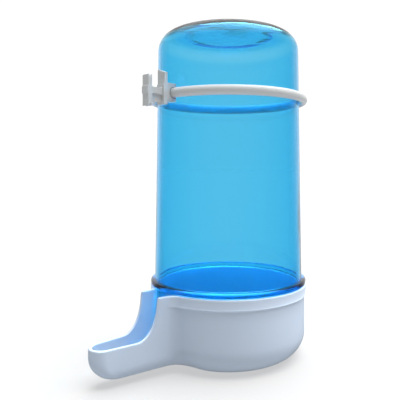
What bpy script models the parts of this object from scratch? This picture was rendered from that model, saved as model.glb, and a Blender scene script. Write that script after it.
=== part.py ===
"""Siphon drinker for small livestock: clear blue reservoir, white base with spout, hoop and cage clip.

The origin is the centre of the base's underside, +Z is up and the spout points along -Y.
"""

import math

import bmesh
import bpy
from mathutils import Matrix, Vector

MM = 0.001
GAP = 0.35 * MM  # clearance between pieces that touch in use

# Base: a round cup with a stepped rim band.
BASE_RADIUS = 38.95 * MM
BASE_HEIGHT = 36.0 * MM
BASE_CORNER = 12.8 * MM
BASE_WALL = 1.5 * MM
BASE_FLOOR = 1.8 * MM
BAND_BOTTOM = 31.4 * MM
BAND_STEP = 0.5 * MM
BAND_SLOPE = 0.4 * MM
RIM_RADIUS = 39.75 * MM

# Spout: a boot-shaped finger that leaves the cup along -Y.
SPOUT_REACH = 75.5 * MM
SPOUT_ROOT_Y = 38.0 * MM
SPOUT_ROOT_HALF_WIDTH = 8.8 * MM
SPOUT_TIP_HALF_WIDTH = 6.3 * MM
SPOUT_TIP_LENGTH = 5.5 * MM
SPOUT_EDGE_RADIUS = 6.0 * MM
SPOUT_TOE_RADIUS = 12.8 * MM
SPOUT_FILLET = 6.0 * MM
SPOUT_SIDE_START_Y = 43.0 * MM
SPOUT_ROOT_EDGE_RADIUS = 8.0 * MM
SPOUT_LIFT = 2.2 * MM  # the spout's underside stays this far above the foot
LIFT_START_Y = 24.0 * MM
LIFT_END_Y = 40.0 * MM
LIP_DROP_START_Y = 46.6 * MM
LIP_DROP_END_Y = 56.8 * MM
LIP_HEIGHT = 17.6 * MM
LIP_TIP_HEIGHT = 17.2 * MM
ROUNDING_TOP = 13.2 * MM

# Reservoir: tube with a closed top, a collar that rests on the rim and a skirt inside the base.
SKIRT_BOTTOM = 10.0 * MM
SKIRT_BOTTOM_RADIUS = 36.65 * MM
SKIRT_TOP_RADIUS = 37.1 * MM
COLLAR_BOTTOM = BASE_HEIGHT + GAP
COLLAR_TOP = COLLAR_BOTTOM + 2.4 * MM
COLLAR_RADIUS = 39.5 * MM
COLLAR_EDGE_RADIUS = 1.1 * MM
COLLAR_CHAMFER = 0.4 * MM
TUBE_BOTTOM_RADIUS = 37.53 * MM
TUBE_TOP_RADIUS = 35.95 * MM
TUBE_TOP = 153.5 * MM
TUBE_WALL = 1.4 * MM
SHOULDER_RADIUS = 9.7 * MM
INNER_SHOULDER_RADIUS = 5.6 * MM
TOP_THICKNESS = 2.1 * MM
CROWN = 0.2 * MM  # how far the top rises from the shoulder to the recess
RECESS_RADIUS = 20.5 * MM
RECESS_SLOPE = 5.0 * MM
RECESS_DEPTH = 0.25 * MM
RECESS_CROWN = 0.15 * MM

# Hoop: a ring of oval section on the upper tube.
HOOP_HEIGHT = 128.7 * MM
HOOP_THICKNESS = 3.8 * MM
HOOP_TALLNESS = 4.6 * MM

# Clip: sleeve on the hoop, inner plate, neck, gusset and outer plate. Radial sizes are from the axis.
CLIP_TURN_DEG = 7.0
SLEEVE_BACK = 36.95 * MM
SLEEVE_HALF_HEIGHT = 4.2 * MM
SLEEVE_WIDTH = 4.6 * MM
SLEEVE_CLEARANCE = 0.3 * MM
INNER_PLATE_BACK = 42.2 * MM
INNER_PLATE_FACE = 44.0 * MM
INNER_PLATE_WIDTH = 5.1 * MM
INNER_PLATE_BOTTOM = 123.0 * MM
INNER_PLATE_TOP = 139.4 * MM
INNER_PLATE_SLANT = 1.8 * MM
LEDGE_TOP = 132.2 * MM
LEDGE_DEPTH = 0.45 * MM
OUTER_PLATE_BACK = 50.6 * MM
OUTER_PLATE_FACE = 52.7 * MM
OUTER_PLATE_WIDTH = 4.4 * MM
OUTER_PLATE_BOTTOM = 121.7 * MM
OUTER_PLATE_TOP = 135.6 * MM
PLATE_BEVEL = 0.35 * MM
GROOVE_BEVEL = 0.15 * MM
GROOVE_HALF_WIDTH = 0.7 * MM
GROOVE_DEPTH = 1.5 * MM
RIB_DEPTH = 0.4 * MM
NECK_HEIGHT = 128.9 * MM
NECK_HALF_WIDTH = 1.5 * MM
NECK_HALF_HEIGHT = 1.5 * MM
NECK_FLARE = 1.2 * MM
GUSSET_BOTTOM = 123.8 * MM
GUSSET_HALF_WIDTH = 0.65 * MM
OVERLAP = 0.7 * MM  # how far joined shapes of one moulding run into each other

TURNED_STEPS = 72
CUP_STEPS = 68
FILLET_STEPS = 4
TIP_STEPS = 6
DROP_STEPS = 7
LIP_STEPS = 3
CORNER_STEPS = 6
SHOULDER_STEPS = 8
COLLAR_STEPS = 3
HOOP_STEPS = 12
CHANNEL_STEPS = 16
SHARP_DEG = 60.0  # corners sharper than this are bevelled


def clear_scene():
    for item in list(bpy.data.objects):
        bpy.data.objects.remove(item, do_unlink=True)


def make_material(name, colour, roughness, alpha=1.0, transmission=0.0):
    material = bpy.data.materials.new(name)
    material.use_nodes = True
    shader = material.node_tree.nodes["Principled BSDF"]
    shader.inputs["Base Color"].default_value = (*colour, 1.0)
    shader.inputs["Roughness"].default_value = roughness
    shader.inputs["Metallic"].default_value = 0.0
    shader.inputs["Alpha"].default_value = alpha
    shader.inputs["Transmission Weight"].default_value = transmission
    return material


def make_object(name, bm, material, smooth_deg=35.0):
    bmesh.ops.recalc_face_normals(bm, faces=bm.faces)
    mesh = bpy.data.meshes.new(name)
    bm.to_mesh(mesh)
    bm.free()
    mesh.materials.append(material)
    mesh.shade_smooth()
    mesh.set_sharp_from_angle(angle=math.radians(smooth_deg))
    piece = bpy.data.objects.new(name, mesh)
    bpy.context.collection.objects.link(piece)
    return piece


def arc(centre, radius, start_deg, end_deg, steps):
    """Points on an arc in the (radius, height) plane."""
    points = []
    for step in range(steps + 1):
        angle = math.radians(start_deg + (end_deg - start_deg) * step / steps)
        points.append((centre[0] + radius * math.cos(angle), centre[1] + radius * math.sin(angle)))
    return points


def turned(profile):
    """A closed outline of (radius, height) points spun about the Z axis.

    A stretch of the outline that lies on the axis is left out, because it sweeps nothing.
    """
    bm = bmesh.new()
    verts = [bm.verts.new((radius, 0.0, height)) for radius, height in profile]
    edges = []
    for first, second in zip(verts, verts[1:] + verts[:1]):
        if first.co.x > 0.0 or second.co.x > 0.0:
            edges.append(bm.edges.new((first, second)))
    bmesh.ops.spin(
        bm,
        geom=verts + edges,
        cent=(0, 0, 0),
        axis=(0, 0, 1),
        angle=2 * math.pi,
        steps=TURNED_STEPS,
    )
    bmesh.ops.remove_doubles(bm, verts=bm.verts, dist=0.01 * MM)
    return bm


# ---------------------------------------------------------------- base


def side_shares():
    """Where the points along the spout's side lie, closest together where the lip drops."""
    stations = []
    for step in range(DROP_STEPS + 1):
        share = 1 - math.cos(math.pi / 2 * step / DROP_STEPS)
        stations.append(LIP_DROP_START_Y + (LIP_DROP_END_Y - LIP_DROP_START_Y) * share)
    tip_start = SPOUT_REACH - SPOUT_TIP_LENGTH
    for step in range(1, LIP_STEPS + 1):
        stations.append(LIP_DROP_END_Y + (tip_start - LIP_DROP_END_Y) * step / LIP_STEPS)
    length = tip_start - SPOUT_SIDE_START_Y
    return [(station - SPOUT_SIDE_START_Y) / length for station in stations]


def spout_fillet(cup_radius, fillet, root, along):
    """Centre of the concave arc that touches the cup's wall and the spout's side."""
    outward = Vector((-along.y, along.x))
    offset = root + outward * fillet
    reach = offset.dot(along)
    miss = offset.length_squared - (cup_radius + fillet) ** 2
    slide = -reach + math.sqrt(reach * reach - miss)
    return offset + along * slide, outward


def outline(cup_radius, root_cut, side_cut, toe_cut):
    """Plan of the cup with its spout, with the same number of points at every level.

    It runs from the back of the cup round its right side to the spout's tip and back.
    The cuts pull the spout's root, sides and tip inwards.
    """
    fillet = SPOUT_FILLET + side_cut
    root = Vector((SPOUT_ROOT_HALF_WIDTH - root_cut, -SPOUT_ROOT_Y))
    tip_half_width = SPOUT_TIP_HALF_WIDTH - side_cut
    shoulder = Vector((tip_half_width, SPOUT_TIP_LENGTH + toe_cut - SPOUT_REACH))
    along = (shoulder - root).normalized()
    centre, outward = spout_fillet(cup_radius, fillet, root, along)
    side_start = centre - outward * fillet

    half = []
    wall_end = math.atan2(centre.y, centre.x)
    half_steps = CUP_STEPS // 2
    for step in range(half_steps + 1):
        angle = math.pi / 2 + (wall_end - math.pi / 2) * step / half_steps
        half.append((cup_radius * math.cos(angle), cup_radius * math.sin(angle)))
    start = wall_end + math.pi
    end = math.atan2(-outward.y, -outward.x) % (2 * math.pi)
    for step in range(1, FILLET_STEPS + 1):
        angle = start + (end - start) * step / FILLET_STEPS
        half.append((centre.x + fillet * math.cos(angle), centre.y + fillet * math.sin(angle)))
    for share in side_shares():
        half.append(tuple(side_start.lerp(shoulder, share)))
    for step in range(1, TIP_STEPS):
        angle = math.pi / 2 * step / TIP_STEPS
        drop = SPOUT_TIP_LENGTH * math.sin(angle)
        half.append((tip_half_width * math.cos(angle), shoulder.y - drop))
    tip = (0.0, shoulder.y - SPOUT_TIP_LENGTH)
    mirrored = [(-x, y) for x, y in reversed(half[1:])]
    return half + [tip] + mirrored


def inset_at(height, radius):
    """How far a quarter-round bottom edge has pulled in at this height."""
    below = min(max(radius - height, 0.0), radius)
    return radius - math.sqrt(radius**2 - below**2)


def smooth_share(value, start, end):
    share = min(max((value - start) / (end - start), 0.0), 1.0)
    return share * share * (3 - 2 * share)


def lip_height(distance):
    """Height of the wall's top edge: level round the cup, then a concave drop to the trough."""
    if distance <= LIP_DROP_START_Y:
        return BASE_HEIGHT
    if distance >= LIP_DROP_END_Y:
        share = (distance - LIP_DROP_END_Y) / (SPOUT_REACH - LIP_DROP_END_Y)
        return LIP_HEIGHT + (LIP_TIP_HEIGHT - LIP_HEIGHT) * share
    share = (distance - LIP_DROP_START_Y) / (LIP_DROP_END_Y - LIP_DROP_START_Y)
    return BASE_HEIGHT - (BASE_HEIGHT - LIP_HEIGHT) * math.sqrt(1 - (1 - share) ** 2)


def level_height(height, distance):
    """A level's height here: raised under the spout, and above that squeezed down to the lip."""
    if height > ROUNDING_TOP:
        share = (height - ROUNDING_TOP) / (BASE_HEIGHT - ROUNDING_TOP)
        return ROUNDING_TOP + share * (lip_height(distance) - ROUNDING_TOP)
    lift = SPOUT_LIFT * smooth_share(distance, LIFT_START_Y, LIFT_END_Y)
    return height + lift * (1 - height / ROUNDING_TOP)


def corner_levels(floor, corner, radius):
    """(height, cup radius) pairs up a rounded bottom corner."""
    centre = (radius - corner, floor + corner)
    return [(height, reach) for reach, height in arc(centre, corner, -90, 0, CORNER_STEPS)]


def skin(bm, floor, wall, levels):
    """Rings of vertices, one for each level."""
    rings = []
    for height, radius in levels:
        root_cut = wall + inset_at(height - floor, SPOUT_ROOT_EDGE_RADIUS - wall)
        side_cut = wall + inset_at(height - floor, SPOUT_EDGE_RADIUS - wall)
        toe_cut = wall + inset_at(height - floor, SPOUT_TOE_RADIUS - wall)
        plan = outline(radius, root_cut, side_cut, toe_cut)
        rings.append([bm.verts.new((x, y, level_height(height, -y))) for x, y in plan])
    return rings


def bridge_rings(bm, rings):
    for lower, upper in zip(rings, rings[1:]):
        for i in range(len(lower)):
            bm.faces.new((lower[i - 1], lower[i], upper[i], upper[i - 1]))


def close_bottom(bm, ring):
    """A flat disc under the cup, and strips across the spout."""
    count = len(ring)
    wall_end = CUP_STEPS // 2
    tip = count // 2
    bm.faces.new(ring[: wall_end + 1] + ring[count - wall_end :])
    for i in range(wall_end, tip - 1):
        bm.faces.new((ring[i], ring[i + 1], ring[count - i - 1], ring[count - i]))
    bm.faces.new((ring[tip - 1], ring[tip], ring[tip + 1]))


def build_base(material):
    bm = bmesh.new()
    outer_levels = corner_levels(0.0, BASE_CORNER, BASE_RADIUS) + [
        (BAND_BOTTOM - BAND_SLOPE, BASE_RADIUS),
        (BAND_BOTTOM, BASE_RADIUS + BAND_STEP),
        (BASE_HEIGHT, RIM_RADIUS),
    ]
    inner_radius = BASE_RADIUS - BASE_WALL
    inner_levels = corner_levels(BASE_FLOOR, BASE_CORNER - BASE_WALL, inner_radius) + [
        (BASE_HEIGHT, inner_radius),
    ]
    outer = skin(bm, 0.0, 0.0, outer_levels)
    inner = skin(bm, BASE_FLOOR, BASE_WALL, inner_levels)
    bridge_rings(bm, outer + inner[::-1])
    close_bottom(bm, outer[0])
    close_bottom(bm, inner[0])
    return make_object("base", bm, material)


# ----------------------------------------------------------- reservoir


def tube_radius(height):
    """The tube narrows evenly from the collar to the shoulder."""
    share = (height - COLLAR_TOP) / (TUBE_TOP - COLLAR_TOP)
    return TUBE_BOTTOM_RADIUS + (TUBE_TOP_RADIUS - TUBE_BOTTOM_RADIUS) * share


def build_reservoir(material):
    shoulder = (TUBE_TOP_RADIUS - SHOULDER_RADIUS, TUBE_TOP)
    top = TUBE_TOP + SHOULDER_RADIUS
    collar_edge = (COLLAR_RADIUS - COLLAR_EDGE_RADIUS, COLLAR_TOP - COLLAR_EDGE_RADIUS)
    inner_top = top - TOP_THICKNESS
    inner_shoulder = (
        TUBE_TOP_RADIUS - TUBE_WALL - INNER_SHOULDER_RADIUS,
        inner_top - INNER_SHOULDER_RADIUS,
    )
    outer = [
        (SKIRT_BOTTOM_RADIUS, SKIRT_BOTTOM),
        (SKIRT_TOP_RADIUS, COLLAR_BOTTOM),
        (COLLAR_RADIUS - COLLAR_CHAMFER, COLLAR_BOTTOM),
        (COLLAR_RADIUS, COLLAR_BOTTOM + COLLAR_CHAMFER),
    ]
    outer += arc(collar_edge, COLLAR_EDGE_RADIUS, 0, 90, COLLAR_STEPS)
    outer += [(TUBE_BOTTOM_RADIUS, COLLAR_TOP)]
    outer += arc(shoulder, SHOULDER_RADIUS, 0, 90, SHOULDER_STEPS)
    outer += [
        (RECESS_RADIUS + RECESS_SLOPE / 2, top + CROWN),
        (RECESS_RADIUS - RECESS_SLOPE / 2, top + CROWN - RECESS_DEPTH),
        (0.0, top + CROWN - RECESS_DEPTH + RECESS_CROWN),
    ]
    inner = [(0.0, inner_top)]
    inner += arc(inner_shoulder, INNER_SHOULDER_RADIUS, 90, 0, SHOULDER_STEPS)
    inner += [
        (TUBE_BOTTOM_RADIUS - TUBE_WALL, COLLAR_TOP),
        (SKIRT_BOTTOM_RADIUS - TUBE_WALL, SKIRT_BOTTOM),
    ]
    return make_object("reservoir", turned(outer + inner), material, 30.0)


# ---------------------------------------------------------------- hoop


def hoop_inner_radius():
    """The hoop just clears the tube at its own lower edge, where the tube is widest."""
    return tube_radius(HOOP_HEIGHT - HOOP_TALLNESS / 2) + GAP


def oval_section(growth, steps):
    """The hoop's section as (radius, height) points, grown evenly by a clearance."""
    centre = hoop_inner_radius() + HOOP_THICKNESS / 2
    half_thickness = HOOP_THICKNESS / 2 + growth
    half_tallness = HOOP_TALLNESS / 2 + growth
    points = []
    for step in range(steps):
        angle = 2 * math.pi * step / steps
        radius = centre + half_thickness * math.cos(angle)
        points.append((radius, HOOP_HEIGHT + half_tallness * math.sin(angle)))
    return points


def build_hoop(material):
    return make_object("holder_hoop", turned(oval_section(0.0, HOOP_STEPS)), material, 80.0)


# ---------------------------------------------------------------- clip


def slab(profile, half_width, bevel=PLATE_BEVEL, front_drop=0.0):
    """A profile of (radial, height) points made half_width wide each way, edges bevelled.

    front_drop lowers the highest points of the front end, for a slanted top.
    """
    bm = bmesh.new()
    highest = max(height for _, height in profile)
    back = [bm.verts.new((radial, -half_width, height)) for radial, height in profile]
    front = []
    for radial, height in profile:
        drop = front_drop if height == highest else 0.0
        front.append(bm.verts.new((radial, half_width, height - drop)))
    bm.faces.new(back)
    bm.faces.new(front[::-1])
    for i in range(len(profile)):
        bm.faces.new((back[i - 1], back[i], front[i], front[i - 1]))
    bmesh.ops.recalc_face_normals(bm, faces=bm.faces)
    sharp = [edge for edge in bm.edges if edge.calc_face_angle_signed() > math.radians(SHARP_DEG)]
    bmesh.ops.bevel(bm, geom=sharp, offset=bevel, segments=1, affect="EDGES")
    return bm


def rectangle(back, face, bottom, top):
    return [(back, bottom), (face, bottom), (face, top), (back, top)]


def inner_plate_profile():
    """A bar whose slot side has a low ledge that ends above the neck."""
    return [
        (INNER_PLATE_BACK, INNER_PLATE_BOTTOM),
        (INNER_PLATE_FACE + LEDGE_DEPTH, INNER_PLATE_BOTTOM),
        (INNER_PLATE_FACE + LEDGE_DEPTH, LEDGE_TOP),
        (INNER_PLATE_FACE, LEDGE_TOP),
        (INNER_PLATE_FACE, INNER_PLATE_TOP),
        (INNER_PLATE_BACK, INNER_PLATE_TOP),
    ]


def outer_plate_profile():
    """A bar with a V groove in each end and a low rib where the neck runs into it."""
    middle = (OUTER_PLATE_BACK + OUTER_PLATE_FACE) / 2
    rib_half = NECK_HALF_HEIGHT + RIB_DEPTH
    return [
        (OUTER_PLATE_BACK, OUTER_PLATE_BOTTOM),
        (middle - GROOVE_HALF_WIDTH, OUTER_PLATE_BOTTOM),
        (middle, OUTER_PLATE_BOTTOM + GROOVE_DEPTH),
        (middle + GROOVE_HALF_WIDTH, OUTER_PLATE_BOTTOM),
        (OUTER_PLATE_FACE, OUTER_PLATE_BOTTOM),
        (OUTER_PLATE_FACE, NECK_HEIGHT - rib_half),
        (OUTER_PLATE_FACE + RIB_DEPTH, NECK_HEIGHT - NECK_HALF_HEIGHT),
        (OUTER_PLATE_FACE + RIB_DEPTH, NECK_HEIGHT + NECK_HALF_HEIGHT),
        (OUTER_PLATE_FACE, NECK_HEIGHT + rib_half),
        (OUTER_PLATE_FACE, OUTER_PLATE_TOP),
        (middle + GROOVE_HALF_WIDTH, OUTER_PLATE_TOP),
        (middle, OUTER_PLATE_TOP - GROOVE_DEPTH),
        (middle - GROOVE_HALF_WIDTH, OUTER_PLATE_TOP),
        (OUTER_PLATE_BACK, OUTER_PLATE_TOP),
    ]


def neck_profile():
    """A bar that flares where it leaves the inner plate."""
    tall = NECK_HALF_HEIGHT + NECK_FLARE
    return [
        (INNER_PLATE_FACE - OVERLAP, NECK_HEIGHT - tall),
        (INNER_PLATE_FACE + NECK_FLARE, NECK_HEIGHT - NECK_HALF_HEIGHT),
        (OUTER_PLATE_BACK + OVERLAP, NECK_HEIGHT - NECK_HALF_HEIGHT),
        (OUTER_PLATE_BACK + OVERLAP, NECK_HEIGHT + NECK_HALF_HEIGHT),
        (INNER_PLATE_FACE + NECK_FLARE, NECK_HEIGHT + NECK_HALF_HEIGHT),
        (INNER_PLATE_FACE - OVERLAP, NECK_HEIGHT + tall),
    ]


def add_helper(name, bm, material):
    """A shape that only a Boolean uses."""
    helper = make_object(name, bm, material)
    helper.hide_render = True
    helper.display_type = "WIRE"
    return helper


def add_boolean(piece, helper, operation):
    modifier = piece.modifiers.new(helper.name, "BOOLEAN")
    modifier.operation = operation
    modifier.solver = "EXACT"
    modifier.object = helper


def build_clip(material):
    sleeve = rectangle(
        SLEEVE_BACK,
        INNER_PLATE_BACK + OVERLAP,
        HOOP_HEIGHT - SLEEVE_HALF_HEIGHT,
        HOOP_HEIGHT + SLEEVE_HALF_HEIGHT,
    )
    gusset = rectangle(
        INNER_PLATE_FACE - OVERLAP,
        OUTER_PLATE_BACK + OVERLAP,
        GUSSET_BOTTOM,
        NECK_HEIGHT,
    )
    clip = make_object(
        "cage_clip",
        slab(inner_plate_profile(), INNER_PLATE_WIDTH / 2, front_drop=INNER_PLATE_SLANT),
        material,
    )
    shapes = {
        "sleeve_shape": slab(sleeve, SLEEVE_WIDTH / 2),
        "outer_plate_shape": slab(outer_plate_profile(), OUTER_PLATE_WIDTH / 2, GROOVE_BEVEL),
        "neck_shape": slab(neck_profile(), NECK_HALF_WIDTH),
        "gusset_shape": slab(gusset, GUSSET_HALF_WIDTH),
    }
    turn = Matrix.Rotation(math.radians(CLIP_TURN_DEG - 90.0), 4, "Z")
    clip.matrix_world = turn
    for name, bm in shapes.items():
        helper = add_helper(name, bm, material)
        helper.matrix_world = turn
        add_boolean(clip, helper, "UNION")
    channel = add_helper("hoop_channel", turned(oval_section(SLEEVE_CLEARANCE, CHANNEL_STEPS)), material)
    add_boolean(clip, channel, "DIFFERENCE")
    return clip


def main():
    clear_scene()
    blue = make_material("clear_blue", (0.02, 0.42, 0.85), 0.08, alpha=0.45, transmission=0.8)
    base_white = make_material("base_white", (0.80, 0.84, 0.90), 0.30)
    clip_white = make_material("clip_white", (0.86, 0.87, 0.87), 0.40)
    build_base(base_white)
    build_reservoir(blue)
    build_hoop(clip_white)
    build_clip(clip_white)


main()
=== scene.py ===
"""Looks of the siphon drinker: clear blue reservoir, white base with spout, hoop and cage clip."""

import math

import bmesh
import bpy
from mathutils import Matrix, Vector


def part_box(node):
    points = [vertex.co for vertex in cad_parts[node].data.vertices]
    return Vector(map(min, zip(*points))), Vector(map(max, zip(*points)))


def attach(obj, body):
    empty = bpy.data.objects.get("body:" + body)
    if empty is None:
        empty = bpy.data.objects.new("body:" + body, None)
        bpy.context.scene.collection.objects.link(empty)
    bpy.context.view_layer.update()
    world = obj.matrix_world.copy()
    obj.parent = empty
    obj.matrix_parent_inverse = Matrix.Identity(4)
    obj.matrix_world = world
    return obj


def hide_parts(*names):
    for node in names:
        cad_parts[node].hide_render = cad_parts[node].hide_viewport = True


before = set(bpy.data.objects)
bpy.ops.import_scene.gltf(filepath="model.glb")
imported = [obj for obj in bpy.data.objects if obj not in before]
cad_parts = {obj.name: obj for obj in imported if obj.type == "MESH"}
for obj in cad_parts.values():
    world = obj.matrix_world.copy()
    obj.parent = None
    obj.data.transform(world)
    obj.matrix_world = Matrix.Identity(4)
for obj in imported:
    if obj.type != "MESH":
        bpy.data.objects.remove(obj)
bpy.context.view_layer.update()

MM = 0.001
BASE_LOW, BASE_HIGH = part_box("base")
TUBE_LOW, TUBE_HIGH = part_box("reservoir")
HOOP_LOW, HOOP_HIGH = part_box("holder_hoop")
CLIP_LOW, CLIP_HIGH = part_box("cage_clip")

# Base, from the frame: its rim, its height and how far the spout reaches.
BASE_HEIGHT = BASE_HIGH.z
RIM_RADIUS = BASE_HIGH.x
SPOUT_REACH = -BASE_LOW.y
BASE_RADIUS = RIM_RADIUS - 0.8 * MM
BASE_CORNER = 12.8 * MM
BASE_WALL = 1.5 * MM
BASE_FLOOR = 1.8 * MM
BAND_BOTTOM = 31.4 * MM
BAND_STEP = 0.5 * MM
WALL_HEIGHTS = (18.0 * MM, 25.0 * MM)
INNER_WALL_HEIGHTS = (20.0 * MM, 28.0 * MM)
RIB_BULGE = 0.28 * MM
LIP_ROUND = 0.62 * MM

SPOUT_ROOT_Y = 38.0 * MM
SPOUT_ROOT_HALF_WIDTH = 8.8 * MM
SPOUT_TIP_HALF_WIDTH = 6.3 * MM
SPOUT_TIP_LENGTH = 5.5 * MM
SPOUT_EDGE_RADIUS = 6.0 * MM
SPOUT_TOE_RADIUS = 12.8 * MM
SPOUT_FILLET = 6.0 * MM
SPOUT_SIDE_START_Y = 43.0 * MM
SPOUT_ROOT_EDGE_RADIUS = 8.0 * MM
SPOUT_LIFT = 2.2 * MM
LIFT_START_Y = 24.0 * MM
LIFT_END_Y = 40.0 * MM
LIP_DROP_START_Y = 46.6 * MM
LIP_DROP_END_Y = 56.8 * MM
LIP_CORNER_RADIUS = 0.5 * MM
LIP_HEIGHT = 17.6 * MM
LIP_TIP_HEIGHT = 17.2 * MM
LIP_NORMAL_STEP = 0.15 * MM
ROUNDING_TOP = 13.2 * MM

# Reservoir, from the frame: its skirt, its collar and its top.
SKIRT_BOTTOM = TUBE_LOW.z
TUBE_HEIGHT = TUBE_HIGH.z
COLLAR_RADIUS = TUBE_HIGH.x
COLLAR_BOTTOM = BASE_HEIGHT + 0.35 * MM
COLLAR_TOP = COLLAR_BOTTOM + 2.4 * MM
COLLAR_EDGE_RADIUS = 1.1 * MM
SKIRT_BOTTOM_RADIUS = 36.65 * MM
SKIRT_TOP_RADIUS = 37.1 * MM
TUBE_BOTTOM_RADIUS = 37.53 * MM
TUBE_TOP_RADIUS = 35.95 * MM
TUBE_WALL = 1.4 * MM
SHOULDER_RADIUS = 9.7 * MM
INNER_SHOULDER_RADIUS = 5.6 * MM
TOP_THICKNESS = 2.1 * MM
CROWN = 0.2 * MM
RECESS_RADIUS = 20.5 * MM
RECESS_DEPTH = 0.25 * MM
RECESS_SLOPE = 5.0 * MM
RECESS_CROWN = 0.15 * MM
CORNER_BLEND = 0.35 * MM
NECK_BLEND = 0.25 * MM
RECESS_BLEND = 1.2 * MM
FOOT_FLAT = 0.4 * TUBE_WALL

# Hoop, from the frame.
HOOP_HEIGHT = (HOOP_LOW.z + HOOP_HIGH.z) / 2
HOOP_TALLNESS = HOOP_HIGH.z - HOOP_LOW.z
HOOP_OUTER_RADIUS = HOOP_HIGH.x
HOOP_THICKNESS = 3.8 * MM

# Clip. Radial sizes are from the tube's axis.
CLIP_TURN_DEG = 7.0
SLEEVE_BACK = 36.95 * MM
SLEEVE_HALF_HEIGHT = 4.2 * MM
SLEEVE_WIDTH = 4.6 * MM
SLEEVE_CLEARANCE = 0.3 * MM
INNER_PLATE_BACK = 42.2 * MM
INNER_PLATE_FACE = 44.0 * MM
INNER_PLATE_WIDTH = 5.1 * MM
INNER_PLATE_BOTTOM = 123.0 * MM
INNER_PLATE_TOP = CLIP_HIGH.z
INNER_PLATE_SLANT = 1.8 * MM
OUTER_PLATE_BACK = 50.6 * MM
OUTER_PLATE_FACE = 52.7 * MM
OUTER_PLATE_WIDTH = 4.4 * MM
OUTER_PLATE_BOTTOM = CLIP_LOW.z
OUTER_PLATE_TOP = 135.6 * MM
GROOVE_HALF_WIDTH = 0.7 * MM
GROOVE_DEPTH = 1.5 * MM
RIB_DEPTH = 0.4 * MM
NECK_HEIGHT = 128.9 * MM
NECK_HALF_WIDTH = 1.5 * MM
NECK_HALF_HEIGHT = 1.5 * MM
NECK_FLARE = 1.2 * MM
GUSSET_BOTTOM = 123.8 * MM
GUSSET_HALF_WIDTH = 0.65 * MM
OVERLAP = 0.7 * MM
CLIP_VOXEL = 0.1 * MM
RELAX_FACTOR = 0.5
RELAX_ROUNDS = 6
LEDGE_TOP = 132.2 * MM
LEDGE_DEPTH = 0.45 * MM

TURNED_STEPS = 192
CUP_STEPS = 176
FILLET_STEPS = 10
TIP_STEPS = 16
DROP_STEPS = 18
CORNER_STEPS = 14
SHOULDER_STEPS = 20
BLEND_STEPS = 3
LIP_STEPS = 5
LIP_CORNER_STEPS = 4
TROUGH_STEPS = 5
COLLAR_STEPS = 6
OVAL_STEPS = 32
CHANNEL_STEPS = 128
SHARP_DEG = 40.0
ALL_SMOOTH_DEG = 80.0
BRACE = 0.3 * MM
BRACED_LENGTH = 6 * BRACE
SAME_POINT = 0.005 * MM
LONGEST_BLEND = 0.45

# Plastics. Each SCALE is in cycles per metre, and UNEVEN and each GRAIN are bump strengths.
PLASTIC_IOR = 1.49
NOISE_LOW = 0.3
NOISE_HIGH = 0.7
BLUE_TINT = (0.79, 0.826, 0.875, 1.0)
BLUE_ROUGHNESS = 0.03
BLUE_ABSORBED = (0.0, 0.84, 1.0, 1.0)
BLUE_DENSITY = 750.0
WAVE_SCALE = 70.0
WAVE_STRETCH = (1.0, 1.0, 0.12)
WAVE_DEPTH = 0.6 * MM
WAVE_ON_SIDES = 0.7
WAVE_ON_TOP = 0.1
SIDE_FACING = 0.5
TOP_FACING = 0.95
BLUE_GRAIN_SCALE = 900.0
BLUE_GRAIN = 0.10
GRAIN_DEPTH = 0.03 * MM
MOTTLE_SCALE = 60.0
GLOSS_SCALE = 140.0
UNEVEN_SCALE = 90.0
UNEVEN = 0.15
UNEVEN_DEPTH = 0.25 * MM
WHITE_GRAIN_SCALE = 2600.0
WHITE_GRAIN = 0.12
BASE_WHITE_LIGHT = (0.51, 0.595, 0.715)
BASE_WHITE_SHADE = (0.49, 0.575, 0.695)
BASE_ROUGHNESS = (0.28, 0.40)
HOLDER_WHITE_LIGHT = (0.50, 0.515, 0.52)
HOLDER_WHITE_SHADE = (0.47, 0.485, 0.49)
HOLDER_ROUGHNESS = (0.3, 0.45)

# Camera: level with the hidden horizon, aimed at the tube's axis.
CAMERA_AZIMUTH_DEG = 51.0
CAMERA_DISTANCE = 258.0 * MM
CAMERA_HEIGHT = 93.3 * MM
CAMERA_LENS_MM = 44.82
CAMERA_SHIFT_X = -0.0707
CAMERA_SHIFT_Y = -0.0755
SENSOR_WIDTH_MM = 36.0
NEAREST_SEEN = 0.01
FARTHEST_SEEN = 500.0

# Studio. BACKDROP_WAY points at the bright side, straight behind the object from the camera.
# The DIM and BRIGHT pairs are where a smooth rise starts and ends. A ray crosses a wall of clear
# plastic in two steps, so more than TWO_WALLS steps means that it has crossed two walls.
BACKDROP_WAY = (-0.777, 0.629, 0.0)
BACKDROP_DIM = 0.35
BACKDROP_BRIGHT = 0.95
OVERHEAD_DIM = 0.55
OVERHEAD_BRIGHT = 0.85
WORLD_SEEN = 1.09
WORLD_FRONT = 0.05
WORLD_BACK = 1.1
MIRRORED_FRONT = 0.08
MIRRORED_BACK = 0.95
MIRRORED_OVERHEAD = 1.5
WORLD_THROUGH_ONCE = 4.0
WORLD_THROUGH_TWICE = 13.5
TWO_WALLS = 3.5
SUN_STRENGTH = 9.0
SUN_WIDTH_DEG = 70.0
SUN_WAY = (0.2, 1.8, 6.0)
FLOOR_WHITE = 0.18
FLOOR_GLOW = 0.51
FLOOR_ROUGHNESS = 0.9
FLOOR_HALF_SIZE = 100.0


# ------------------------------------------------------------- shapes


def make_object(name, bm, smooth_deg=SHARP_DEG):
    bmesh.ops.recalc_face_normals(bm, faces=bm.faces)
    mesh = bpy.data.meshes.new(name)
    bm.to_mesh(mesh)
    bm.free()
    mesh.shade_smooth()
    mesh.set_sharp_from_angle(angle=math.radians(smooth_deg))
    piece = bpy.data.objects.new(name, mesh)
    bpy.context.scene.collection.objects.link(piece)
    return piece


def dress(piece, material, body, node):
    piece.data.materials.clear()
    piece.data.materials.append(material)
    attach(piece, body)
    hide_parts(node)


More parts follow.
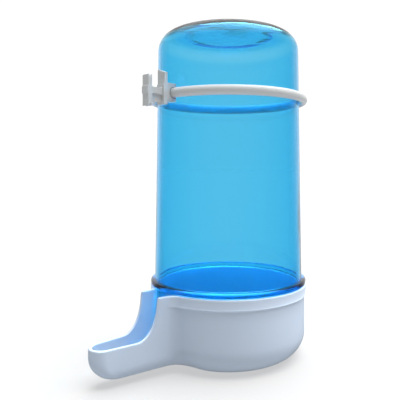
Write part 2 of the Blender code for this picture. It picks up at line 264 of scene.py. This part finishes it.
def arc(centre, radius, start_deg, end_deg, steps):
    """Points on an arc in the (radius, height) plane."""
    points = []
    for step in range(steps + 1):
        angle = math.radians(start_deg + (end_deg - start_deg) * step / steps)
        points.append((centre[0] + radius * math.cos(angle), centre[1] + radius * math.sin(angle)))
    return points


def rounded(points, radius):
    """An open outline with every inner corner rounded."""
    blended = [points[0]]
    for before, corner, after in zip(points, points[1:], points[2:]):
        here = Vector(corner)
        into = Vector(before) - here
        out = Vector(after) - here
        turn = into.angle(out)
        longest = LONGEST_BLEND * min(into.length, out.length)
        reach = min(radius / math.tan(turn / 2), longest)
        start = here + into.normalized() * reach
        end = here + out.normalized() * reach
        for step in range(BLEND_STEPS + 1):
            share = step / BLEND_STEPS
            first = start.lerp(here, share)
            second = here.lerp(end, share)
            blended.append(tuple(first.lerp(second, share)))
    blended.append(points[-1])
    return blended


def braced(profile):
    """A closed outline with a point near both ends of each long side, so that it shades flat."""
    points = []
    for start, end in zip(profile, profile[1:] + profile[:1]):
        here, there = Vector(start), Vector(end)
        points.append(start)
        length = (there - here).length
        if length > BRACED_LENGTH and not here.x == there.x == 0.0:
            points.append(tuple(here.lerp(there, BRACE / length)))
            points.append(tuple(there.lerp(here, BRACE / length)))
    return points


def turned(profile, steps=TURNED_STEPS):
    """A closed outline of (radius, height) points spun about the Z axis."""
    bm = bmesh.new()
    verts = [bm.verts.new((radius, 0.0, height)) for radius, height in profile]
    edges = []
    for first, second in zip(verts, verts[1:] + verts[:1]):
        if first.co.x > 0.0 or second.co.x > 0.0:
            edges.append(bm.edges.new((first, second)))
    bmesh.ops.spin(
        bm,
        geom=verts + edges,
        cent=(0, 0, 0),
        axis=(0, 0, 1),
        angle=2 * math.pi,
        steps=steps,
    )
    bmesh.ops.remove_doubles(bm, verts=bm.verts, dist=SAME_POINT)
    return bm


# ---------------------------------------------------------------- base


def lip_stations():
    """(distance, height) points of the spout's lip, from the cup's rim to the tip's start."""
    stations = []
    corner_y = LIP_DROP_START_Y - LIP_CORNER_RADIUS
    for step in range(LIP_CORNER_STEPS):
        angle = math.pi / 2 * step / LIP_CORNER_STEPS
        distance = corner_y + LIP_CORNER_RADIUS * math.sin(angle)
        stations.append((distance, BASE_HEIGHT - LIP_CORNER_RADIUS * (1 - math.cos(angle))))
    first = math.asin(LIP_CORNER_RADIUS / (BASE_HEIGHT - LIP_HEIGHT))
    for step in range(DROP_STEPS + 1):
        angle = first + (math.pi / 2 - first) * step / DROP_STEPS
        distance = LIP_DROP_START_Y + (LIP_DROP_END_Y - LIP_DROP_START_Y) * (1 - math.cos(angle))
        stations.append((distance, BASE_HEIGHT - (BASE_HEIGHT - LIP_HEIGHT) * math.sin(angle)))
    tip_start = SPOUT_REACH - SPOUT_TIP_LENGTH
    for step in range(1, TROUGH_STEPS + 1):
        distance = LIP_DROP_END_Y + (tip_start - LIP_DROP_END_Y) * step / TROUGH_STEPS
        stations.append((distance, lip_slope(distance)))
    return stations


def lip_slope(distance):
    share = (distance - LIP_DROP_END_Y) / (SPOUT_REACH - LIP_DROP_END_Y)
    return LIP_HEIGHT + (LIP_TIP_HEIGHT - LIP_HEIGHT) * share


def lip_height(distance):
    """Height of the wall's top edge: level round the cup, then a concave drop to the trough."""
    if distance <= STATIONS[0][0]:
        return BASE_HEIGHT
    for (near, high), (far, low) in zip(STATIONS, STATIONS[1:]):
        if distance <= far:
            return high + (low - high) * (distance - near) / (far - near)
    return lip_slope(distance)


def lip_normal(distance):
    """Which way the lip's edge faces, as (outward along the spout, up)."""
    ahead = lip_height(distance + LIP_NORMAL_STEP)
    behind = lip_height(distance - LIP_NORMAL_STEP)
    normal = Vector(((behind - ahead) / (2 * LIP_NORMAL_STEP), 1.0))
    return normal.normalized()


def outline(cup_radius, root_cut, side_cut, toe_cut):
    """Plan of the cup with its spout, with the same number of points at every level."""
    fillet = SPOUT_FILLET + side_cut
    root = Vector((SPOUT_ROOT_HALF_WIDTH - root_cut, -SPOUT_ROOT_Y))
    tip_half_width = SPOUT_TIP_HALF_WIDTH - side_cut
    shoulder = Vector((tip_half_width, SPOUT_TIP_LENGTH + toe_cut - SPOUT_REACH))
    along = (shoulder - root).normalized()
    outward = Vector((-along.y, along.x))
    offset = root + outward * fillet
    reach = offset.dot(along)
    miss = offset.length_squared - (cup_radius + fillet) ** 2
    centre = offset + along * (-reach + math.sqrt(reach * reach - miss))
    side_start = centre - outward * fillet

    half = []
    wall_end = math.atan2(centre.y, centre.x)
    half_steps = CUP_STEPS // 2
    for step in range(half_steps + 1):
        angle = math.pi / 2 + (wall_end - math.pi / 2) * step / half_steps
        half.append((cup_radius * math.cos(angle), cup_radius * math.sin(angle)))
    start = wall_end + math.pi
    end = math.atan2(-outward.y, -outward.x) % (2 * math.pi)
    for step in range(1, FILLET_STEPS + 1):
        angle = start + (end - start) * step / FILLET_STEPS
        half.append((centre.x + fillet * math.cos(angle), centre.y + fillet * math.sin(angle)))
    length = STATIONS[-1][0] - SPOUT_SIDE_START_Y
    for distance, _ in STATIONS:
        half.append(tuple(side_start.lerp(shoulder, (distance - SPOUT_SIDE_START_Y) / length)))
    for step in range(1, TIP_STEPS):
        angle = math.pi / 2 * step / TIP_STEPS
        drop = SPOUT_TIP_LENGTH * math.sin(angle)
        half.append((tip_half_width * math.cos(angle), shoulder.y - drop))
    tip = (0.0, shoulder.y - SPOUT_TIP_LENGTH)
    mirrored = [(-x, y) for x, y in reversed(half[1:])]
    return half + [tip] + mirrored


def inset_at(height, radius):
    """How far a quarter-round bottom edge has pulled in at this height."""
    below = min(max(radius - height, 0.0), radius)
    return radius - math.sqrt(radius**2 - below**2)


def smooth_share(value, start, end):
    share = min(max((value - start) / (end - start), 0.0), 1.0)
    return share * share * (3 - 2 * share)


def level_height(height, distance):
    """A level's height here: raised under the spout, and above that squeezed down to the lip."""
    if height > ROUNDING_TOP:
        share = (height - ROUNDING_TOP) / (BASE_HEIGHT - ROUNDING_TOP)
        return ROUNDING_TOP + share * (lip_height(distance) - LIP_ROUND - ROUNDING_TOP)
    lift = SPOUT_LIFT * smooth_share(distance, LIFT_START_Y, LIFT_END_Y)
    return height + lift * (1 - height / ROUNDING_TOP)


def skin(bm, floor, wall, levels):
    """Rings of vertices up one skin, ending with the rounded half of the lip."""
    rings = []
    for height, radius in levels:
        root_cut = wall + inset_at(height - floor, SPOUT_ROOT_EDGE_RADIUS - wall)
        side_cut = wall + inset_at(height - floor, SPOUT_EDGE_RADIUS - wall)
        toe_cut = wall + inset_at(height - floor, SPOUT_TOE_RADIUS - wall)
        plan = outline(radius, root_cut, side_cut, toe_cut)
        rings.append([bm.verts.new((x, y, level_height(height, -y))) for x, y in plan])
    side = -1 if wall else 1
    top_radius = levels[-1][1]
    for step in range(1, LIP_STEPS + 1):
        angle = math.pi / 2 * step / LIP_STEPS
        cut = side * LIP_ROUND * (1 - math.cos(angle))
        sunk = LIP_ROUND * (1 - math.sin(angle))
        ring = []
        for x, y in outline(top_radius - cut, wall + cut, wall + cut, wall + cut):
            normal = lip_normal(-y)
            ring.append(bm.verts.new((x, y + normal.x * sunk, lip_height(-y) - normal.y * sunk)))
        rings.append(ring)
    return rings


def bridge_rings(bm, rings):
    for lower, upper in zip(rings, rings[1:]):
        for i in range(len(lower)):
            bm.faces.new((lower[i - 1], lower[i], upper[i], upper[i - 1]))


def close_bottom(bm, ring):
    """A flat disc under the cup, and strips across the spout."""
    count = len(ring)
    wall_end = CUP_STEPS // 2
    tip = count // 2
    bm.faces.new(ring[: wall_end + 1] + ring[count - wall_end :])
    for i in range(wall_end, tip - 1):
        bm.faces.new((ring[i], ring[i + 1], ring[count - i - 1], ring[count - i]))
    bm.faces.new((ring[tip - 1], ring[tip], ring[tip + 1]))


def rim_rib(band_radius):
    """(height, radius) levels of the small round rib along the lower edge of the rim's band."""
    return [
        (BAND_BOTTOM - 0.5 * MM, BASE_RADIUS),
        (BAND_BOTTOM - 0.3 * MM, BASE_RADIUS + 0.06 * MM),
        (BAND_BOTTOM - 0.12 * MM, BASE_RADIUS + 0.3 * MM),
        (BAND_BOTTOM + 0.05 * MM, band_radius + 0.4 * RIB_BULGE),
        (BAND_BOTTOM + 0.3 * MM, band_radius + RIB_BULGE),
        (BAND_BOTTOM + 0.6 * MM, band_radius + 0.6 * RIB_BULGE),
        (BAND_BOTTOM + 0.9 * MM, band_radius + 0.02 * MM),
    ]


def cup_levels(wall, floor, heights):
    """(height, radius) levels of one skin: its round bottom corner, then the wall."""
    radius = BASE_RADIUS - wall
    corner = BASE_CORNER - wall
    corner_points = arc((radius - corner, floor + corner), corner, -90, 0, CORNER_STEPS)
    levels = [(height, across) for across, height in corner_points]
    return levels + [(height, radius) for height in heights]


def build_base():
    bm = bmesh.new()
    rim_heights = (BASE_HEIGHT - BRACE, BASE_HEIGHT)
    outer_levels = cup_levels(0.0, 0.0, WALL_HEIGHTS)
    outer_levels += rim_rib(BASE_RADIUS + BAND_STEP)
    outer_levels += [(height, RIM_RADIUS) for height in rim_heights]
    inner_levels = cup_levels(BASE_WALL, BASE_FLOOR, INNER_WALL_HEIGHTS + rim_heights)
    outer = skin(bm, 0.0, 0.0, outer_levels)
    inner = skin(bm, BASE_FLOOR, BASE_WALL, inner_levels)
    bridge_rings(bm, outer + inner[::-1])
    close_bottom(bm, outer[0])
    close_bottom(bm, inner[0])
    return make_object("base_cup", bm)


# ----------------------------------------------------------- reservoir


def build_reservoir():
    top = TUBE_HEIGHT - CROWN
    tube_top = top - SHOULDER_RADIUS
    shoulder = (TUBE_TOP_RADIUS - SHOULDER_RADIUS, tube_top)
    collar_edge = (COLLAR_RADIUS - COLLAR_EDGE_RADIUS, COLLAR_TOP - COLLAR_EDGE_RADIUS)
    inner_top = top - TOP_THICKNESS
    inner_shoulder = (
        TUBE_TOP_RADIUS - TUBE_WALL - INNER_SHOULDER_RADIUS,
        inner_top - INNER_SHOULDER_RADIUS,
    )
    skirt_inner = SKIRT_BOTTOM_RADIUS - TUBE_WALL
    foot = rounded(
        [
            (skirt_inner + FOOT_FLAT, SKIRT_BOTTOM),
            (SKIRT_BOTTOM_RADIUS, SKIRT_BOTTOM),
            (SKIRT_TOP_RADIUS, COLLAR_BOTTOM),
            (COLLAR_RADIUS, COLLAR_BOTTOM),
            (COLLAR_RADIUS, COLLAR_TOP - 0.75 * COLLAR_EDGE_RADIUS),
        ],
        CORNER_BLEND,
    )
    neck = rounded(
        [
            (COLLAR_RADIUS - COLLAR_EDGE_RADIUS, COLLAR_TOP),
            (TUBE_BOTTOM_RADIUS, COLLAR_TOP),
            (TUBE_TOP_RADIUS, tube_top),
        ],
        NECK_BLEND,
    )
    recess = rounded(
        [
            (TUBE_TOP_RADIUS - SHOULDER_RADIUS, top),
            (RECESS_RADIUS + RECESS_SLOPE / 2, top + CROWN),
            (RECESS_RADIUS - RECESS_SLOPE / 2, top + CROWN - RECESS_DEPTH),
            (0.0, top + CROWN - RECESS_DEPTH + RECESS_CROWN),
        ],
        RECESS_BLEND,
    )
    outer = foot + arc(collar_edge, COLLAR_EDGE_RADIUS, 10, 80, COLLAR_STEPS) + neck
    outer += arc(shoulder, SHOULDER_RADIUS, 5, 85, SHOULDER_STEPS) + recess
    inner = [(0.0, inner_top)]
    inner += arc(inner_shoulder, INNER_SHOULDER_RADIUS, 90, 0, SHOULDER_STEPS)
    inner += rounded(
        [
            (TUBE_BOTTOM_RADIUS - TUBE_WALL, COLLAR_TOP),
            (skirt_inner, SKIRT_BOTTOM),
            (skirt_inner + FOOT_FLAT, SKIRT_BOTTOM),
        ],
        CORNER_BLEND,
    )[:-1]
    return make_object("reservoir_shell", turned(braced(outer + inner)))


# ---------------------------------------------------------------- hoop


def oval_section(growth):
    """The hoop's section as (radius, height) points, grown evenly by a clearance."""
    centre = HOOP_OUTER_RADIUS - HOOP_THICKNESS / 2
    half_thickness = HOOP_THICKNESS / 2 + growth
    half_tallness = HOOP_TALLNESS / 2 + growth
    points = []
    for step in range(OVAL_STEPS):
        angle = 2 * math.pi * step / OVAL_STEPS
        radius = centre + half_thickness * math.cos(angle)
        points.append((radius, HOOP_HEIGHT + half_tallness * math.sin(angle)))
    return points


def build_hoop():
    return make_object("hoop_ring", turned(oval_section(0.0)), ALL_SMOOTH_DEG)


# ---------------------------------------------------------------- clip


def slab(profile, half_width, front_drop=0.0):
    """A profile of (radial, height) points made half_width wide each way."""
    bm = bmesh.new()
    highest = max(height for _, height in profile)
    back = [bm.verts.new((radial, -half_width, height)) for radial, height in profile]
    front = []
    for radial, height in profile:
        drop = front_drop if height == highest else 0.0
        front.append(bm.verts.new((radial, half_width, height - drop)))
    bm.faces.new(back)
    bm.faces.new(front[::-1])
    for i in range(len(profile)):
        bm.faces.new((back[i - 1], back[i], front[i], front[i - 1]))
    return bm


def rectangle(back, face, bottom, top):
    return [(back, bottom), (face, bottom), (face, top), (back, top)]


def inner_plate_profile():
    """A bar whose slot side has a low ledge that ends above the neck."""
    return [
        (INNER_PLATE_BACK, INNER_PLATE_BOTTOM),
        (INNER_PLATE_FACE + LEDGE_DEPTH, INNER_PLATE_BOTTOM),
        (INNER_PLATE_FACE + LEDGE_DEPTH, LEDGE_TOP),
        (INNER_PLATE_FACE, LEDGE_TOP),
        (INNER_PLATE_FACE, INNER_PLATE_TOP),
        (INNER_PLATE_BACK, INNER_PLATE_TOP),
    ]


def outer_plate_profile():
    """A bar with a V groove in each end and a low rib where the neck runs into it."""
    middle = (OUTER_PLATE_BACK + OUTER_PLATE_FACE) / 2
    rib_half = NECK_HALF_HEIGHT + RIB_DEPTH
    return [
        (OUTER_PLATE_BACK, OUTER_PLATE_BOTTOM),
        (middle - GROOVE_HALF_WIDTH, OUTER_PLATE_BOTTOM),
        (middle, OUTER_PLATE_BOTTOM + GROOVE_DEPTH),
        (middle + GROOVE_HALF_WIDTH, OUTER_PLATE_BOTTOM),
        (OUTER_PLATE_FACE, OUTER_PLATE_BOTTOM),
        (OUTER_PLATE_FACE, NECK_HEIGHT - rib_half),
        (OUTER_PLATE_FACE + RIB_DEPTH, NECK_HEIGHT - NECK_HALF_HEIGHT),
        (OUTER_PLATE_FACE + RIB_DEPTH, NECK_HEIGHT + NECK_HALF_HEIGHT),
        (OUTER_PLATE_FACE, NECK_HEIGHT + rib_half),
        (OUTER_PLATE_FACE, OUTER_PLATE_TOP),
        (middle + GROOVE_HALF_WIDTH, OUTER_PLATE_TOP),
        (middle, OUTER_PLATE_TOP - GROOVE_DEPTH),
        (middle - GROOVE_HALF_WIDTH, OUTER_PLATE_TOP),
        (OUTER_PLATE_BACK, OUTER_PLATE_TOP),
    ]


def neck_profile():
    """A bar that flares where it leaves the inner plate."""
    tall = NECK_HALF_HEIGHT + NECK_FLARE
    return [
        (INNER_PLATE_FACE - OVERLAP, NECK_HEIGHT - tall),
        (INNER_PLATE_FACE + NECK_FLARE, NECK_HEIGHT - NECK_HALF_HEIGHT),
        (OUTER_PLATE_BACK + OVERLAP, NECK_HEIGHT - NECK_HALF_HEIGHT),
        (OUTER_PLATE_BACK + OVERLAP, NECK_HEIGHT + NECK_HALF_HEIGHT),
        (INNER_PLATE_FACE + NECK_FLARE, NECK_HEIGHT + NECK_HALF_HEIGHT),
        (INNER_PLATE_FACE - OVERLAP, NECK_HEIGHT + tall),
    ]


def add_boolean(piece, helper, operation):
    modifier = piece.modifiers.new(helper.name, "BOOLEAN")
    modifier.operation = operation
    modifier.solver = "EXACT"
    modifier.object = helper


def apply_modifiers(piece):
    graph = bpy.context.evaluated_depsgraph_get()
    mesh = bpy.data.meshes.new_from_object(piece.evaluated_get(graph))
    piece.modifiers.clear()
    piece.data = mesh


def build_clip():
    """The clip's blocks joined, cut for the hoop, then softened like a moulding."""
    sleeve = rectangle(
        SLEEVE_BACK,
        INNER_PLATE_BACK + OVERLAP,
        HOOP_HEIGHT - SLEEVE_HALF_HEIGHT,
        HOOP_HEIGHT + SLEEVE_HALF_HEIGHT,
    )
    gusset = rectangle(
        INNER_PLATE_FACE - OVERLAP,
        OUTER_PLATE_BACK + OVERLAP,
        GUSSET_BOTTOM,
        NECK_HEIGHT,
    )
    inner_plate = slab(inner_plate_profile(), INNER_PLATE_WIDTH / 2, INNER_PLATE_SLANT)
    clip = make_object("clip_body", inner_plate)
    helpers = [
        make_object("sleeve_shape", slab(sleeve, SLEEVE_WIDTH / 2)),
        make_object("outer_plate_shape", slab(outer_plate_profile(), OUTER_PLATE_WIDTH / 2)),
        make_object("neck_shape", slab(neck_profile(), NECK_HALF_WIDTH)),
        make_object("gusset_shape", slab(gusset, GUSSET_HALF_WIDTH)),
    ]
    for helper in helpers:
        add_boolean(clip, helper, "UNION")
    channel = turned(oval_section(SLEEVE_CLEARANCE), CHANNEL_STEPS)
    helpers.append(make_object("channel_shape", channel))
    add_boolean(clip, helpers[-1], "DIFFERENCE")
    remesh = clip.modifiers.new("soften", "REMESH")
    remesh.mode = "VOXEL"
    remesh.voxel_size = CLIP_VOXEL
    relax = clip.modifiers.new("relax", "SMOOTH")
    relax.factor = RELAX_FACTOR
    relax.iterations = RELAX_ROUNDS
    bpy.context.view_layer.update()
    apply_modifiers(clip)
    for helper in helpers:
        bpy.data.objects.remove(helper)
    clip.data.transform(Matrix.Rotation(math.radians(CLIP_TURN_DEG - 90.0), 4, "Z"))
    clip.data.shade_smooth()
    return clip


# ----------------------------------------------------------- materials


def new_material(name):
    material = bpy.data.materials.new(name)
    material.use_nodes = True
    tree = material.node_tree
    return material, tree, tree.nodes["Principled BSDF"], tree.nodes["Material Output"]


def noise(tree, scale, detail=3.0, stretch=(1.0, 1.0, 1.0)):
    """Noise in the piece's own space, in cycles per metre."""
    place = tree.nodes.new("ShaderNodeTexCoord")
    mapping = tree.nodes.new("ShaderNodeMapping")
    mapping.inputs["Scale"].default_value = stretch
    texture = tree.nodes.new("ShaderNodeTexNoise")
    texture.inputs["Scale"].default_value = scale
    texture.inputs["Detail"].default_value = detail
    tree.links.new(place.outputs["Object"], mapping.inputs["Vector"])
    tree.links.new(mapping.outputs["Vector"], texture.inputs["Vector"])
    return texture.outputs["Fac"]


def to_range(tree, value, low, high):
    scale = tree.nodes.new("ShaderNodeMapRange")
    scale.inputs["From Min"].default_value = NOISE_LOW
    scale.inputs["From Max"].default_value = NOISE_HIGH
    scale.inputs["To Min"].default_value = low
    scale.inputs["To Max"].default_value = high
    tree.links.new(value, scale.inputs["Value"])
    return scale.outputs["Result"]


def mix_colours(tree, factor, first, second):
    mix = tree.nodes.new("ShaderNodeMix")
    mix.data_type = "RGBA"
    mix.inputs["A"].default_value = (*first, 1.0)
    mix.inputs["B"].default_value = (*second, 1.0)
    tree.links.new(factor, mix.inputs["Factor"])
    return mix.outputs["Result"]


def bump(tree, height, strength, distance, below=None):
    node = tree.nodes.new("ShaderNodeBump")
    node.inputs["Strength"].default_value = strength
    node.inputs["Distance"].default_value = distance
    tree.links.new(height, node.inputs["Height"])
    if below is not None:
        tree.links.new(below, node.inputs["Normal"])
    return node.outputs["Normal"]


def clear_blue():
    """Tinted clear plastic: the colour comes from the depth of plastic that light crosses."""
    material, tree, shader, output = new_material("clear_blue_plastic")
    shader.inputs["Base Color"].default_value = BLUE_TINT
    shader.inputs["Transmission Weight"].default_value = 1.0
    shader.inputs["Roughness"].default_value = BLUE_ROUGHNESS
    shader.inputs["IOR"].default_value = PLASTIC_IOR
    waves = noise(tree, WAVE_SCALE, 1.5, WAVE_STRETCH)
    grain = noise(tree, BLUE_GRAIN_SCALE, 2.0)
    soft = bump(tree, waves, WAVE_ON_SIDES, WAVE_DEPTH)
    # The waves fade where the surface faces up.
    place = tree.nodes.new("ShaderNodeTexCoord")
    facing = tree.nodes.new("ShaderNodeSeparateXYZ")
    tree.links.new(place.outputs["Normal"], facing.inputs["Vector"])
    calm = ramp(tree, facing.outputs["Z"], SIDE_FACING, TOP_FACING, WAVE_ON_SIDES, WAVE_ON_TOP)
    tree.links.new(calm, soft.node.inputs["Strength"])
    tree.links.new(bump(tree, grain, BLUE_GRAIN, GRAIN_DEPTH, soft), shader.inputs["Normal"])
    absorb = tree.nodes.new("ShaderNodeVolumeAbsorption")
    absorb.inputs["Color"].default_value = BLUE_ABSORBED
    absorb.inputs["Density"].default_value = BLUE_DENSITY
    tree.links.new(absorb.outputs["Volume"], output.inputs["Volume"])
    return material


def white_plastic(name, light, shade, roughness):
    """Opaque moulded plastic with a faint mottle, uneven gloss and fine moulded grain."""
    material, tree, shader, _ = new_material(name)
    colour = mix_colours(tree, noise(tree, MOTTLE_SCALE, 4.0), light, shade)
    tree.links.new(colour, shader.inputs["Base Color"])
    gloss = to_range(tree, noise(tree, GLOSS_SCALE, 5.0), roughness[0], roughness[1])
    tree.links.new(gloss, shader.inputs["Roughness"])
    shader.inputs["IOR"].default_value = PLASTIC_IOR
    soft = bump(tree, noise(tree, UNEVEN_SCALE, 2.0), UNEVEN, UNEVEN_DEPTH)
    fine = bump(tree, noise(tree, WHITE_GRAIN_SCALE, 2.0), WHITE_GRAIN, GRAIN_DEPTH, soft)
    tree.links.new(fine, shader.inputs["Normal"])
    return material


# --------------------------------------------------------------- stage


def choose(tree, factor, low, high):
    """A number that goes from low to high as factor goes from 0 to 1."""
    node = tree.nodes.new("ShaderNodeMix")
    tree.links.new(factor, node.inputs["Factor"])
    for value, name in ((low, "A"), (high, "B")):
        if isinstance(value, float):
            node.inputs[name].default_value = value
        else:
            tree.links.new(value, node.inputs[name])
    return node.outputs["Result"]


def ramp(tree, value, start, end, low, high):
    """A smooth rise from low to high as value goes from start to end."""
    node = tree.nodes.new("ShaderNodeMapRange")
    node.interpolation_type = "SMOOTHSTEP"
    node.inputs["From Min"].default_value = start
    node.inputs["From Max"].default_value = end
    node.inputs["To Min"].default_value = low
    node.inputs["To Max"].default_value = high
    tree.links.new(value, node.inputs["Value"])
    return node.outputs["Result"]


def towards_backdrop(tree, way):
    """1 straight towards the backdrop, -1 straight away from it."""
    behind = tree.nodes.new("ShaderNodeVectorMath")
    behind.operation = "DOT_PRODUCT"
    behind.inputs[1].default_value = BACKDROP_WAY
    tree.links.new(way, behind.inputs[0])
    return behind.outputs["Value"]


def backdrop_mirrored(tree, behind):
    """What gloss mirrors of the room: dim, and bright straight behind the object."""
    return ramp(tree, behind, BACKDROP_DIM, BACKDROP_BRIGHT, MIRRORED_FRONT, MIRRORED_BACK)


def build_floor():
    bm = bmesh.new()
    bmesh.ops.create_grid(bm, x_segments=1, y_segments=1, size=FLOOR_HALF_SIZE)
    floor = make_object("floor", bm)
    material, tree, shader, output = new_material("floor_paper")
    shader.inputs["Base Color"].default_value = (FLOOR_WHITE, FLOOR_WHITE, FLOOR_WHITE, 1.0)
    shader.inputs["Roughness"].default_value = FLOOR_ROUGHNESS
    shader.inputs["Specular IOR Level"].default_value = 0.0
    shader.inputs["Emission Color"].default_value = (1.0, 1.0, 1.0, 1.0)
    shader.inputs["Emission Strength"].default_value = FLOOR_GLOW
    path = tree.nodes.new("ShaderNodeLightPath")
    mirrored = choose(tree, path.outputs["Is Transmission Ray"], path.outputs["Is Glossy Ray"], 0.0)
    dim = tree.nodes.new("ShaderNodeEmission")
    place = tree.nodes.new("ShaderNodeTexCoord")
    way = tree.nodes.new("ShaderNodeVectorMath")
    way.operation = "NORMALIZE"
    tree.links.new(place.outputs["Object"], way.inputs[0])
    behind = towards_backdrop(tree, way.outputs["Vector"])
    tree.links.new(backdrop_mirrored(tree, behind), dim.inputs["Strength"])
    mix = tree.nodes.new("ShaderNodeMixShader")
    tree.links.new(mirrored, mix.inputs["Fac"])
    tree.links.new(shader.outputs["BSDF"], mix.inputs[1])
    tree.links.new(dim.outputs["Emission"], mix.inputs[2])
    tree.links.new(mix.outputs["Shader"], output.inputs["Surface"])
    floor.data.materials.append(material)


def reflection(tree, way, behind):
    """What gloss mirrors: the room and a soft box overhead."""
    parts = tree.nodes.new("ShaderNodeSeparateXYZ")
    tree.links.new(way, parts.inputs["Vector"])
    total = tree.nodes.new("ShaderNodeMath")
    backdrop = backdrop_mirrored(tree, behind)
    height = parts.outputs["Z"]
    overhead = ramp(tree, height, OVERHEAD_DIM, OVERHEAD_BRIGHT, 0.0, MIRRORED_OVERHEAD)
    tree.links.new(backdrop, total.inputs[0])
    tree.links.new(overhead, total.inputs[1])
    return total.outputs["Value"]


def build_world():
    """A white studio, as strong as each kind of ray needs: seen, mirrored, scattered or tinted."""
    world = bpy.data.worlds.new("studio")
    bpy.context.scene.world = world
    world.use_nodes = True
    tree = world.node_tree
    background = tree.nodes["Background"]
    background.inputs["Color"].default_value = (1.0, 1.0, 1.0, 1.0)
    way = tree.nodes.new("ShaderNodeTexCoord")
    behind = towards_backdrop(tree, way.outputs["Generated"])
    fade = tree.nodes.new("ShaderNodeMapRange")
    fade.inputs["From Min"].default_value = -1.0
    fade.inputs["To Min"].default_value = WORLD_FRONT
    fade.inputs["To Max"].default_value = WORLD_BACK
    tree.links.new(behind, fade.inputs["Value"])

    mirror = reflection(tree, way.outputs["Generated"], behind)

    path = tree.nodes.new("ShaderNodeLightPath")
    clear = path.outputs["Is Transmission Ray"]
    walls = tree.nodes.new("ShaderNodeMath")
    walls.operation = "GREATER_THAN"
    walls.inputs[1].default_value = TWO_WALLS
    tree.links.new(path.outputs["Transmission Depth"], walls.inputs[0])
    through = choose(tree, walls.outputs["Value"], WORLD_THROUGH_ONCE, WORLD_THROUGH_TWICE)
    lit = choose(tree, clear, fade.outputs["Result"], through)
    mirrored = choose(tree, path.outputs["Is Glossy Ray"], WORLD_SEEN, mirror)
    seen = choose(tree, clear, mirrored, WORLD_SEEN)
    strength = choose(tree, path.outputs["Diffuse Depth"], seen, lit)
    tree.links.new(strength, background.inputs["Strength"])


def build_lights():
    sun = bpy.data.lights.new("top_light", "SUN")
    sun.energy = SUN_STRENGTH
    sun.angle = math.radians(SUN_WIDTH_DEG)
    lamp = bpy.data.objects.new("top_light", sun)
    lamp.rotation_euler = Vector(SUN_WAY).to_track_quat("Z", "Y").to_euler()
    lamp.visible_glossy = False
    bpy.context.scene.collection.objects.link(lamp)


def build_camera():
    azimuth = math.radians(CAMERA_AZIMUTH_DEG)
    camera = bpy.data.cameras.new("camera")
    camera.lens = CAMERA_LENS_MM
    camera.sensor_width = SENSOR_WIDTH_MM
    camera.shift_x = CAMERA_SHIFT_X
    camera.shift_y = CAMERA_SHIFT_Y
    camera.clip_start = NEAREST_SEEN
    camera.clip_end = FARTHEST_SEEN
    view = bpy.data.objects.new("camera", camera)
    view.location = (
        CAMERA_DISTANCE * math.sin(azimuth),
        -CAMERA_DISTANCE * math.cos(azimuth),
        CAMERA_HEIGHT,
    )
    view.rotation_euler = (math.radians(90), 0.0, azimuth)
    bpy.context.scene.collection.objects.link(view)
    bpy.context.scene.camera = view


STATIONS = lip_stations()
bpy.context.scene.view_settings.view_transform = "Standard"
build_camera()
build_world()
build_lights()
build_floor()

blue = clear_blue()
base_white = white_plastic(
    "base_white_plastic", BASE_WHITE_LIGHT, BASE_WHITE_SHADE, BASE_ROUGHNESS
)
holder_white = white_plastic(
    "holder_white_plastic", HOLDER_WHITE_LIGHT, HOLDER_WHITE_SHADE, HOLDER_ROUGHNESS
)
dress(build_base(), base_white, "base", "base")
dress(build_reservoir(), blue, "reservoir", "reservoir")
dress(build_hoop(), holder_white, "holder_hoop", "holder_hoop")
dress(build_clip(), holder_white, "cage_clip", "cage_clip")
